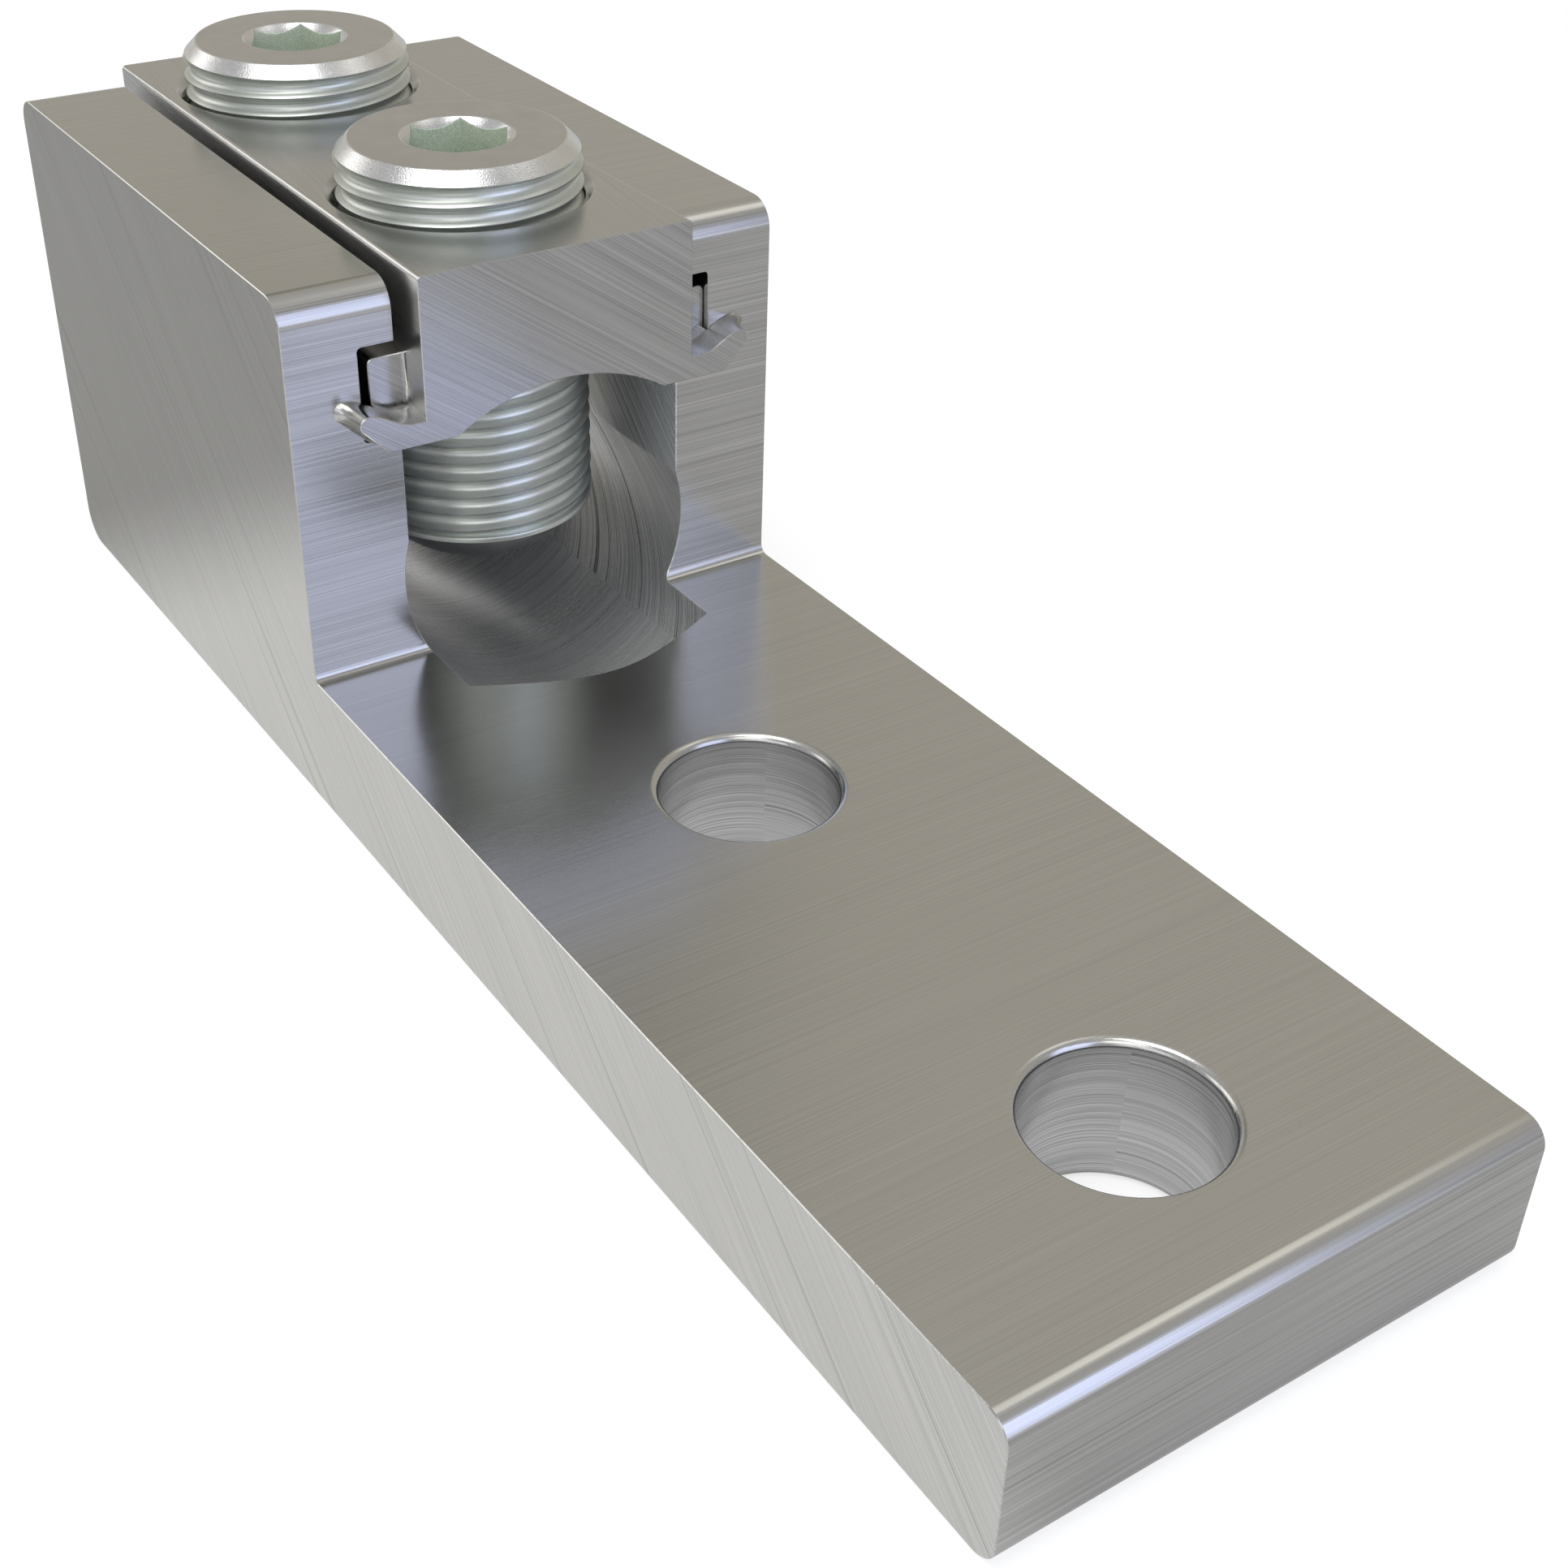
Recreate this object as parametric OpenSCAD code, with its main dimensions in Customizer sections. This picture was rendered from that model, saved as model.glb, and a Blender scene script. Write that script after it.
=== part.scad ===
// Two-conductor-size range mechanical terminal lug: a drilled and slotted body with a two-hole
// tongue, a clamp cap that rides in side grooves and is staked at both ends, and two set screws.
// Origin: middle between the two bolt holes, on the mounting face. +X to the tongue end, +Z up.

/* [Tongue] */
// Width of the lug across the tongue and the block
lug_w = 45; // [41:0.5:56]
// Thickness of the tongue
tongue_t = 12.6; // [9:0.1:16]
// Distance between the two bolt hole centres
hole_pitch = 44.45; // [36:0.05:52]
// Diameter of each bolt hole
hole_d = 14.29; // [8:0.01:18]
// Round at the rim of each bolt hole
hole_rim = 0.5; // [0.2:0.05:1]
// From the front bolt hole centre to the end of the tongue
hole_edge = 15.8; // [12:0.1:24]
// Round on the top and bottom edges of the tongue end
tongue_round = 2; // [0.5:0.1:3.5]

/* [Block] */
// Length of the block along the conductor
block_len = 59.7; // [59:0.1:80]
// Height of the block over the mounting face
block_h = 46; // [44.5:0.1:56]
// From the rear bolt hole centre to the front face of the block
block_gap = 32; // [28:0.5:44]
// Round on the top front and top rear edges of the block
block_round = 2.35; // [0.5:0.05:4]
// Round on the bottom rear edge of the block
heel_round = 3; // [0.5:0.1:5]
// Fillet between the tongue and the front face of the block
root_fillet = 0.8; // [0.3:0.1:2.5]

/* [Conductor channel] */
// Diameter of the drilled conductor hole
wire_d = 27.2; // [26.6:0.1:29]
// Metal left under the conductor hole
floor_t = 5.7; // [4:0.1:8]
// Width of the slot above the conductor hole
slot_w = 26.1; // [25:0.1:26.5]
// How far the full hole diameter runs past the front face of the block
drill_run = 7.2; // [3:0.1:12]
// Point angle of the drill that made the conductor hole
drill_angle = 118; // [90:1:140]

/* [Side grooves] */
// Height of the groove floor over the mounting face
groove_z = 33; // [32:0.1:35]
// Height of each side groove
groove_h = 8.05; // [7.6:0.05:9]
// Depth of each side groove, and reach of each cap foot, from the slot wall
groove_d = 3.2; // [2:0.1:4]
// Corner round inside the grooves
groove_r = 0.4; // [0.2:0.05:0.6]

/* [Clamp cap] */
// Side clearance between the cap and the body when the cap is centred
cap_clear = 0.55; // [0.3:0.05:0.9]
// Gap left on the side to which the cap has been pushed
cap_side_gap = 0.05; // [0.05:0.05:0.3]
// Height of the cap from the groove floor to its top face
cap_h = 14; // [13.8:0.1:18]
// Height of the feet that fill the grooves
foot_h = 6.65; // [5.5:0.05:7.2]
// Length of cap that stands out in front of the block
cap_front = 2.7; // [1.5:0.1:5]
// Length of cap that stands out behind the block
cap_rear = 1.35; // [1:0.05:5]
// Round on the long top edges of the cap
cap_edge = 0.5; // [0.2:0.1:1]
// Radius of the curved saddle under the cap
saddle_r = 18; // [16:0.5:24]
// Height of the saddle over the underside of the feet
saddle_rise = 2.85; // [1.5:0.05:4]

/* [Staked ends] */
// How far the feet end short of the block faces where the staking tool came down
stake_recess = 0.7; // [0.3:0.1:2]
// Height of the staked valley over the underside of the feet
stake_floor = 2; // [1:0.1:2.8]
// Reach of each staked lip beyond the side of the cap
lip_reach = 5.65; // [5:0.05:7]
// Height of the lip crest over the underside of the feet
lip_crest = 3.45; // [3:0.05:4.5]
// Radius of the rolled lip edge
lip_edge = 0.9; // [0.4:0.05:1]
// Extra reach of the lip where it lies against the block
lip_flare = 1.15; // [0.2:0.05:1.6]
// Extra height of the lip where it lies against the block
lip_swell = 0.45; // [0.1:0.05:1]

/* [Set screws] */
// Outer diameter of the screw thread
screw_d = 21; // [16:0.1:21.4]
// Thread pitch
screw_pitch = 1.5875; // [1.5:0.0125:2.5]
// Depth of the thread
thread_depth = 0.95; // [0.4:0.05:1]
// Full length of each screw
screw_len = 38.1; // [30:0.1:42]
// Length of the cone at the driven end
screw_chamfer = 1; // [0.4:0.1:2]
// Width of the cone at the driven end
screw_bevel = 1.3; // [0.5:0.1:2]
// Height of the domed tip
tip_h = 5; // [2:0.1:6]
// Narrowing of the screw where the dome starts
tip_step = 0.5; // [0.3:0.1:1.2]
// Size of the hex socket across its flats
hex_af = 8.1; // [6:0.1:11]
// Depth of the hex socket
hex_depth = 9; // [6:0.1:14]
// Diameter of the socket countersink
hex_mouth = 9.7; // [9.6:0.1:12]
// Direction of one hex corner, seen from above
hex_turn = 30; // [0:1:60]
// Height of the screw top over the cap top
screw_out = 4.35; // [1:0.05:8]
// From the front face of the block to the front screw axis
screw_front = 14.4; // [13.5:0.1:15.5]
// Distance between the two screw axes
screw_pitch_x = 33.2; // [28:0.1:34.5]
// Radial clearance of the screw thread in the cap
screw_clear = 0.1; // [0.05:0.05:0.3]
// Diameter of the countersink round each screw hole
hole_mouth = 22.3; // [22:0.1:24]

/* [Hidden] */
$fn = 96;
over = 1; // how far a cutter runs past the face that it opens
eps = 0.01; // overlap that keeps two outlines from meeting in a bare line

// Stations along X, from the bolt holes outward
front_hole_x = hole_pitch / 2;
tongue_x = front_hole_x + hole_edge;
face_x = -hole_pitch / 2 - block_gap;
rear_x = face_x - block_len;
cap_x1 = face_x + cap_front;
cap_x0 = rear_x - cap_rear;
screw_xs = [face_x - screw_front, face_x - screw_front - screw_pitch_x];

// Heights
wire_z = floor_t + wire_d / 2;
cap_top = groove_z + cap_h;
screw_top = cap_top + screw_out;

// Cap across its width, and its seat: pushed to the +Y side of the slot
cap_half = slot_w / 2 - cap_clear;
cap_y = cap_clear - cap_side_gap;
foot_r = groove_r + cap_side_gap * 2;

// Screw
screw_r = screw_d / 2;
core_r = screw_r - thread_depth;
crest_flat = screw_pitch / 8;
flank = thread_depth * tan(30);
tip_r = screw_r - tip_step;
thread_len = screw_len - screw_chamfer - tip_h;
thread_turns = floor(thread_len / screw_pitch);
tip_sphere = (tip_r * tip_r + tip_h * tip_h) / (2 * tip_h);
hex_r = hex_af / 2 / cos(30);

// Outlines drawn in X and Z are turned upright and stretched along Y
module along_y(width) {
    rotate([90, 0, 0]) linear_extrude(width, center = true) children();
}

// Outlines drawn in Y and Z are stretched along X between two stations
module along_x(x0, x1) {
    translate([x0, 0, 0]) rotate([90, 0, 90]) linear_extrude(x1 - x0) children();
}

// The sliver between a square corner and its round, with the corner at the origin
module corner_round(r, angle = 0) {
    rotate(angle) difference() {
        translate([-eps, -eps]) square(r + eps);
        translate([r, r]) circle(r);
    }
}

// A rectangle with its own round at each corner: lower left, lower right, upper right, upper left
module rounded_rect(x0, y0, x1, y1, rounds) {
    difference() {
        translate([x0, y0]) square([x1 - x0, y1 - y0]);
        if (rounds[0] > 0) translate([x0, y0]) corner_round(rounds[0], 0);
        if (rounds[1] > 0) translate([x1, y0]) corner_round(rounds[1], 90);
        if (rounds[2] > 0) translate([x1, y1]) corner_round(rounds[2], 180);
        if (rounds[3] > 0) translate([x0, y1]) corner_round(rounds[3], 270);
    }
}

// Side view of the lug: tongue and block with their rounds and the root fillet
module lug_outline() {
    rounded_rect(rear_x, 0, tongue_x, tongue_t, [heel_round, tongue_round, tongue_round, 0]);
    rounded_rect(rear_x, 0, face_x, block_h, [heel_round, 0, block_round, block_round]);
    translate([face_x, tongue_t]) corner_round(root_fillet, 0);
}

// End view of what is cut out of the block: slot, side grooves and the round conductor bed
module channel_outline() {
    half = slot_w / 2;
    translate([-half, wire_z]) square([slot_w, block_h - wire_z + over]);
    rounded_rect(-half - groove_d, groove_z, half + groove_d, groove_z + groove_h,
                 [groove_r, groove_r, groove_r, groove_r]);
    translate([0, wire_z]) circle(d = wire_d);
}

// The drilled conductor hole: full diameter into the tongue, then the cone of the drill point
module drilled_hole() {
    end_x = face_x + drill_run;
    translate([face_x - over, 0, wire_z]) rotate([0, 90, 0]) cylinder(h = drill_run + over, d = wire_d);
    translate([end_x, 0, wire_z]) rotate([0, 90, 0])
        cylinder(h = wire_d / 2 / tan(drill_angle / 2), d1 = wire_d, d2 = 0);
}

// One bolt hole with a rounded rim at both faces
module bolt_hole() {
    translate([0, 0, -over]) cylinder(h = tongue_t + 2 * over, d = hole_d);
    for (top = [0, 1]) translate([0, 0, top * tongue_t]) mirror([0, 0, 1 - top])
        rotate_extrude() difference() {
            translate([0, -hole_rim]) square([hole_d / 2 + hole_rim, hole_rim + over]);
            translate([hole_d / 2 + hole_rim, -hole_rim]) circle(hole_rim);
        }
}

module lug_body() {
    color([0.62, 0.62, 0.62]) difference() {
        along_y(lug_w) lug_outline();
        along_x(rear_x - over, face_x + over) channel_outline();
        drilled_hole();
        for (side = [-1, 1]) translate([side * hole_pitch / 2, 0, 0]) bolt_hole();
    }
}

// Top edge of the staked metal from the side of the cap outward: a flat valley, then a soft rise
function valley_height(u, rise_end, crest) =
    let (start = rise_end * 0.2, s = max(0, min(1, (u - start) / (rise_end - start))))
    stake_floor + (crest - stake_floor) * (1 - cos(180 * s)) / 2;

// End view of one lip: u is the distance beyond the side of the cap, v the height over the feet
function lip_points(reach, crest, steps = 8) =
    let (cu = reach - lip_edge, cv = crest - lip_edge, low = 45,
         eu = cu + lip_edge * cos(low), ev = cv - lip_edge * sin(low))
    concat([[-over, 0], [-over, stake_floor]],
           [for (i = [0:steps]) let (u = cu * i / steps) [u, valley_height(u, cu, crest)]],
           [for (i = [1:steps]) let (a = 90 - (90 + low) * i / steps)
               [cu + lip_edge * cos(a), cv + lip_edge * sin(a)]],
           [[eu - ev / tan(low), 0]]);

// One rolled lip between the block face (x = 0) and the end of the cap (x = length)
module staked_lip(length) {
    base = lip_points(lip_reach + lip_flare, lip_crest + lip_swell);
    tip = lip_points(lip_reach, lip_crest);
    n = len(base);
    polyhedron(
        points = concat([for (q = base) [0, q[0], q[1]]], [for (q = tip) [length, q[0], q[1]]]),
        faces = concat([concat([0], [for (i = [n - 1:-1:1]) i])], [[for (i = [n:2 * n - 1]) i]],
                       [for (i = [0:n - 1]) let (j = (i + 1) % n) [i, j, n + j]],
                       [for (i = [0:n - 1]) let (j = (i + 1) % n) [i, n + j, n + i]]));
}

// The four lips, against the front and rear faces of the block
module staked_lips() {
    for (end = [0, 1], side = [0, 1])
        translate([end == 0 ? face_x : rear_x, 0, groove_z])
            mirror([end, 0, 0]) mirror([0, side, 0]) translate([0, cap_half, 0])
                staked_lip(end == 0 ? cap_front : cap_rear);
}

// What the staking tool pressed away above the valley at each end of each foot
module stake_notches() {
    top = foot_h + over;
    reach = groove_d + over;
    valley = [for (i = [0:6]) let (u = reach * i / 6) [u, valley_height(u, lip_reach - lip_edge, lip_crest)]];
    for (end = [0, 1], side = [0, 1])
        translate([end == 0 ? face_x : rear_x, 0, groove_z])
            mirror([end, 0, 0]) mirror([0, side, 0]) translate([0, cap_half, 0])
                along_x(-stake_recess, over) polygon(concat(valley, [[reach, top], [0, top]]));
}

// The cap as extruded: a core between the slot walls and two feet in the grooves
module cap_blank() {
    half = cap_half + groove_d;
    difference() {
        along_x(rear_x, face_x)
            rounded_rect(-half, groove_z, half, groove_z + foot_h, [foot_r, foot_r, foot_r, foot_r]);
        stake_notches();
    }
    along_x(cap_x0, cap_x1)
        rounded_rect(-cap_half, groove_z, cap_half, cap_top, [0, 0, cap_edge, cap_edge]);
}

// A screw hole through the cap with its countersink
module screw_hole() {
    r = screw_r + screw_clear;
    mouth = hole_mouth / 2;
    translate([0, 0, groove_z - over]) cylinder(h = cap_h + 2 * over, r = r);
    translate([0, 0, cap_top - (mouth - r)]) cylinder(h = mouth - r + over, r1 = r, r2 = mouth + over);
}

module clamp_cap() {
    color([0.6, 0.6, 0.62]) translate([0, cap_y, 0]) difference() {
        union() {
            cap_blank();
            staked_lips();
        }
        translate([cap_x0 - over, 0, groove_z + saddle_rise - saddle_r]) rotate([0, 90, 0])
            cylinder(h = cap_x1 - cap_x0 + 2 * over, r = saddle_r);
        for (x = screw_xs) translate([x, 0, 0]) screw_hole();
    }
}

// Half outline of a screw from the tip (z = 0) up: thread rings, then the cone at the driven end
module screw_outline() {
    z0 = tip_h;
    z1 = screw_len - screw_chamfer;
    root_flat = screw_pitch - crest_flat - 2 * flank;
    rings = [for (i = [0:thread_turns - 1], k = [0:3])
        let (z = z0 + i * screw_pitch,
             dz = [0, crest_flat, crest_flat + flank, crest_flat + flank + root_flat][k])
        [k < 2 ? screw_r : core_r, z + dz]];
    polygon(concat([[0, z0]], rings, [[screw_r, z0 + thread_turns * screw_pitch], [screw_r, z1],
                    [screw_r - screw_bevel, screw_len], [0, screw_len]]));
    intersection() {
        translate([0, tip_sphere]) circle(tip_sphere);
        square([tip_r, z0]);
    }
}

// The hex socket with its countersunk mouth and the cone left by the pilot drill
module hex_socket() {
    translate([0, 0, screw_len - hex_depth]) cylinder(h = hex_depth + over, r = hex_r, $fn = 6);
    translate([0, 0, screw_len - hex_mouth / 2]) cylinder(h = hex_mouth / 2 + over, r1 = 0, r2 = hex_mouth / 2 + over);
    translate([0, 0, screw_len - hex_depth - hex_af / 4]) cylinder(h = hex_af / 4, r1 = 0, r2 = hex_af / 2);
}

module set_screw(x) {
    color([0.72, 0.73, 0.72]) translate([x, cap_y, screw_top - screw_len]) difference() {
        rotate_extrude() screw_outline();
        rotate(hex_turn) hex_socket();
    }
}

module front_set_screw() { set_screw(screw_xs[0]); }

module rear_set_screw() { set_screw(screw_xs[1]); }

lug_body();
clamp_cap();
front_set_screw();
rear_set_screw();
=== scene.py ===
"""Dressed scene of a terminal lug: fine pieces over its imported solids, their finishes and a plain studio."""

from __future__ import annotations

import logging
import math
from collections.abc import Callable, Iterator, Sequence
from contextlib import contextmanager
from dataclasses import dataclass, field
from enum import Enum

import bmesh
import bpy
from mathutils import Matrix, Vector


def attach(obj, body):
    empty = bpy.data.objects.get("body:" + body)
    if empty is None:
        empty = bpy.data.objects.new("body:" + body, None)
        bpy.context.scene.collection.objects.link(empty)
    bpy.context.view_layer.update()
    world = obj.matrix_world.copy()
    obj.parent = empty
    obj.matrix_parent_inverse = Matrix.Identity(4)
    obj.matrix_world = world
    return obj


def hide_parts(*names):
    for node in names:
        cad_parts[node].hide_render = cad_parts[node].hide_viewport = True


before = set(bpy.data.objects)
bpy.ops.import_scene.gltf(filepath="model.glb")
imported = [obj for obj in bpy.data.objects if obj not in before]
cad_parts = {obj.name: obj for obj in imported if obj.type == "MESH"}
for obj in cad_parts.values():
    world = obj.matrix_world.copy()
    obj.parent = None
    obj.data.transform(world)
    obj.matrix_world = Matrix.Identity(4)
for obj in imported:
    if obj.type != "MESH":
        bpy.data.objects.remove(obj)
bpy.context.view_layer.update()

LOG = logging.getLogger("terminal_lug")
MM = 0.001

# How far a shape that cuts or is welded on reaches past the surface it meets, in millimetres.
OVERLAP = 1.0
# Points closer together than this are one, in millimetres.
DOUBLE = 0.002
# How far past a radius the faces that belong to it may lie, in millimetres.
SLACK = 0.05
# Edges between faces that turn by less than this lie within a flat, in degrees.
FLAT = 0.05
# Outer edges sharper than this are eased, in degrees.
SHARP = 32.0
# How strongly the size of a face counts in the smooth shading.
FACE_WEIGHT = 70
# Parts of a direction along an axis: one that runs that way, a level face, a slope, and nearly none.
ALIGNED = 0.9
LEVEL = 0.99
SLOPING = 0.6
SLIGHT = 0.3
ACROSS = 0.1

Point = tuple[float, float]
Place = tuple[float, float, float]
Colour = tuple[float, float, float]
Test = Callable[[Vector, Vector], bool]


class Pick(Enum):
    """What a selection in edit mode holds."""

    POINTS = "VERT"
    EDGES = "EDGE"
    FACES = "FACE"


class Join(Enum):
    """How one closed shape is combined with another."""

    CUT = "DIFFERENCE"
    WELD = "UNION"
    TRIM = "INTERSECT"


class Blend(Enum):
    """What a Mix node blends."""

    VECTORS = "VECTOR"
    COLOURS = "RGBA"


class Body(Enum):
    """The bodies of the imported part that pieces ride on."""

    LUG = "lug"
    FRONT_SCREW = "front_screw"
    REAR_SCREW = "rear_screw"


class Slot(Enum):
    """The names of the material slots."""

    LUG_BODY = "lug_body"
    CLAMP_CAP = "clamp_cap"
    SET_SCREW = "set_screw"


def mm(place: Sequence[float]) -> Vector:
    """A place given in millimetres, in metres."""
    return Vector([value * MM for value in place])


def lift(piece: bpy.types.Object) -> None:
    """Make one piece the only selected and active object."""
    bpy.ops.object.select_all(action="DESELECT")
    piece.select_set(True)
    bpy.context.view_layer.objects.active = piece


def settle(name: str) -> bpy.types.Object:
    """Name the active object and put its place and size into its mesh.

    Args:
        name: The name that the object gets.

    Returns:
        The active object, now at the origin, unturned and unscaled.
    """
    piece = bpy.context.object
    piece.name = name
    piece.data.name = name
    lift(piece)
    bpy.ops.object.transform_apply(location=True, rotation=True, scale=True)
    return piece


@contextmanager
def editing(piece: bpy.types.Object, pick: Pick, whole: bool = False) -> Iterator[None]:
    """Open a piece in edit mode with nothing or the whole of it selected, and close it again afterwards."""
    lift(piece)
    bpy.ops.object.mode_set(mode="EDIT")
    bpy.ops.mesh.select_mode(type=pick.value)
    bpy.ops.mesh.select_all(action="SELECT" if whole else "DESELECT")
    yield
    bpy.ops.object.mode_set(mode="OBJECT")


def middle_and_way(edge: bmesh.types.BMEdge) -> tuple[Vector, Vector]:
    """An edge's middle in millimetres, and its direction."""
    start, end = (vert.co for vert in edge.verts)
    return (start + end) / 2 / MM, (end - start).normalized()


def choose(piece: bpy.types.Object, pick: Pick, test: Test) -> None:
    """Select the edges or faces of the open mesh that pass a test.

    Args:
        piece: The piece in edit mode.
        pick: Whether edges or faces are tested.
        test: Gets a part's middle in millimetres and its direction, and says whether it is wanted. The
            direction is the normal of a face, and runs along an edge.
    """
    mesh = bmesh.from_edit_mesh(piece.data)
    if pick is Pick.EDGES:
        wanted = [edge for edge in mesh.edges if test(*middle_and_way(edge))]
    else:
        wanted = [face for face in mesh.faces if test(face.calc_center_median() / MM, face.normal)]
    if not wanted:
        raise ValueError(f"nothing on {piece.name} passes the test")
    for part in wanted:
        part.select_set(True)
    bmesh.update_edit_mesh(piece.data)


def near(value: float, target: float, slack: float = 0.02) -> bool:
    """Whether a value in millimetres is at a target."""
    return abs(value - target) < slack


def box(name: str, low: Place, high: Place) -> bpy.types.Object:
    """A box between two corners given in millimetres."""
    middle = [(a + b) / 2 * MM for a, b in zip(low, high)]
    size = [(b - a) * MM for a, b in zip(low, high)]
    bpy.ops.mesh.primitive_cube_add(size=1, location=middle, scale=size)
    return settle(name)


def rod(name: str, start: Place, end: Place, radius: float, sides: int,
        end_radius: float | None = None) -> bpy.types.Object:
    """A round rod or cone between two places.

    Args:
        name: The name of the object.
        start: The middle of its first end, in millimetres.
        end: The middle of its second end, in millimetres.
        radius: The radius at the first end, in millimetres.
        sides: How many sides stand for the round.
        end_radius: The radius at the second end; the same as the first where it is left out.

    Returns:
        The closed shape.
    """
    a, b = mm(start), mm(end)
    turn = (b - a).to_track_quat("Z", "Y").to_euler()
    place = (a + b) / 2
    long = (b - a).length
    if end_radius is None:
        bpy.ops.mesh.primitive_cylinder_add(vertices=sides, radius=radius * MM, depth=long,
                                            location=place, rotation=turn)
    else:
        bpy.ops.mesh.primitive_cone_add(vertices=sides, radius1=radius * MM, radius2=end_radius * MM,
                                        depth=long, location=place, rotation=turn)
    return settle(name)


def outline_sheet(name: str, corners: Sequence[Vector]) -> bpy.types.Object:
    """A flat face whose corners are moved to an outline given in metres."""
    bpy.ops.mesh.primitive_circle_add(vertices=len(corners), radius=MM, fill_type="NGON")
    sheet = settle(name)
    for vert, corner in zip(sheet.data.vertices, corners):
        vert.co = corner
    sheet.data.update()
    return sheet


def push(step: Sequence[float]) -> None:
    """Extrude what is selected in the open mesh by a step given in millimetres."""
    bpy.ops.mesh.extrude_region_move(TRANSFORM_OT_translate={"value": mm(step)})


def draw_out(centre: Vector, steps: Sequence[tuple[float, float, float]]) -> None:
    """Draw the selected round end of the open mesh out along Z, widening or narrowing it on the way.

    Args:
        centre: A point of the axis, in metres.
        steps: How far each step rises, and its radius before and after, in millimetres.
    """
    for rise, start, end in steps:
        push((0, 0, rise))
        bpy.ops.transform.resize(value=(end / start, end / start, 1), center_override=centre)


def combine(piece: bpy.types.Object, tool: bpy.types.Object, way: Join) -> None:
    """Cut, weld or trim a piece with a tool shape, which is used up."""
    lift(piece)
    step = piece.modifiers.new(way.name.lower(), "BOOLEAN")
    step.operation = way.value
    step.solver = "EXACT"
    step.object = tool
    bpy.ops.object.modifier_apply(modifier=step.name)
    bpy.data.objects.remove(tool)


def clean_flats(piece: bpy.types.Object) -> None:
    """Merge points that lie on each other, and dissolve edges that lie within a flat face."""
    with editing(piece, Pick.POINTS, whole=True):
        bpy.ops.mesh.remove_doubles(threshold=DOUBLE * MM)
    with editing(piece, Pick.EDGES, whole=True):
        bpy.ops.mesh.dissolve_limited(angle_limit=math.radians(FLAT))


def face_outwards(piece: bpy.types.Object) -> None:
    """Turn every face of a closed shape outwards."""
    with editing(piece, Pick.FACES, whole=True):
        bpy.ops.mesh.normals_make_consistent(inside=False)


def bevel_selected(width: float, segments: int) -> None:
    """Bevel the selected edges of the open mesh to a round of a width in millimetres."""
    bpy.ops.mesh.bevel(offset=width * MM, segments=segments, profile=0.5, affect="EDGES",
                       clamp_overlap=False)


def round_edges(piece: bpy.types.Object, width: float, segments: int, test: Test) -> None:
    """Round the edges that pass a test.

    Args:
        piece: The piece whose edges are rounded.
        width: How far the round reaches from the edge, in millimetres.
        segments: How many steps stand for the round.
        test: Which edges are rounded, as in choose.
    """
    with editing(piece, Pick.EDGES):
        choose(piece, Pick.EDGES, test)
        bevel_selected(width, segments)


def ease_edges(piece: bpy.types.Object, width: float, test: Test | None = None) -> None:
    """Break the sharp outer edges with one fine facet, as deburring and plating leave it.

    Args:
        piece: The piece whose edges are eased.
        width: How far the facet reaches from the edge, in millimetres.
        test: Which edges may be eased, as in choose; all of them where it is left out.
    """
    with editing(piece, Pick.EDGES):
        mesh = bmesh.from_edit_mesh(piece.data)
        for edge in mesh.edges:
            sharp = edge.is_manifold and edge.calc_face_angle_signed() > math.radians(SHARP)
            if sharp and (test is None or test(*middle_and_way(edge))):
                edge.select_set(True)
        bmesh.update_edit_mesh(piece.data)
        bevel_selected(width, 1)


def smooth_faces(piece: bpy.types.Object, angle: float = 34.0) -> None:
    """Shade rounds smoothly and keep the flats flat."""
    lift(piece)
    bpy.ops.object.shade_smooth_by_angle(angle=math.radians(angle))
    step = piece.modifiers.new("face weight", "WEIGHTED_NORMAL")
    step.mode = "FACE_AREA"
    step.weight = FACE_WEIGHT
    step.keep_sharp = True
    bpy.ops.object.modifier_apply(modifier=step.name)


def dress(piece: bpy.types.Object, material: bpy.types.Material, test: Test | None = None) -> None:
    """Give a piece its main finish, or some of its faces another one.

    Args:
        piece: The piece that is dressed.
        material: The finish.
        test: Which faces get it, as in choose; all of them where it is left out.
    """
    if test is None:
        piece.data.materials.clear()
        piece.data.materials.append(material)
        return
    piece.data.materials.append(material)
    piece.active_material_index = len(piece.data.materials) - 1
    with editing(piece, Pick.FACES):
        choose(piece, Pick.FACES, test)
        bpy.ops.object.material_slot_assign()


def finish_piece(piece: bpy.types.Object, node: str, body: Body) -> None:
    """Let a dressed piece ride on its body and stand for its solid.

    Args:
        piece: The finished mesh.
        node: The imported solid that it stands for.
        body: The body that it rides on.
    """
    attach(piece, body.value)
    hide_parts(node)
    piece.data.calc_loop_triangles()
    LOG.info("%s: %d vertices, %d triangles", piece.name, len(piece.data.vertices),
             len(piece.data.loop_triangles))


class Wire:
    """An output of a node graph that Python's own operators work on."""

    def __init__(self, graph: Graph, socket: bpy.types.NodeSocket) -> None:
        """Keep the socket and the graph that it belongs to."""
        self.graph = graph
        self.socket = socket

    def __add__(self, other: Wire | float) -> Wire:
        """The sum of two values."""
        return self.graph.maths("ADD", self, other)

    def __sub__(self, other: Wire | float) -> Wire:
        """This value less another."""
        return self.graph.maths("SUBTRACT", self, other)

    def __mul__(self, other: Wire | float) -> Wire:
        """The product of two values."""
        return self.graph.maths("MULTIPLY", self, other)

    def __rsub__(self, other: float) -> Wire:
        """Another value less this one."""
        return self.graph.maths("SUBTRACT", other, self)

    def __gt__(self, other: Wire | float) -> Wire:
        """One where this value is greater, and nought elsewhere."""
        return self.graph.maths("GREATER_THAN", self, other)

    __radd__ = __add__
    __rmul__ = __mul__


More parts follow.
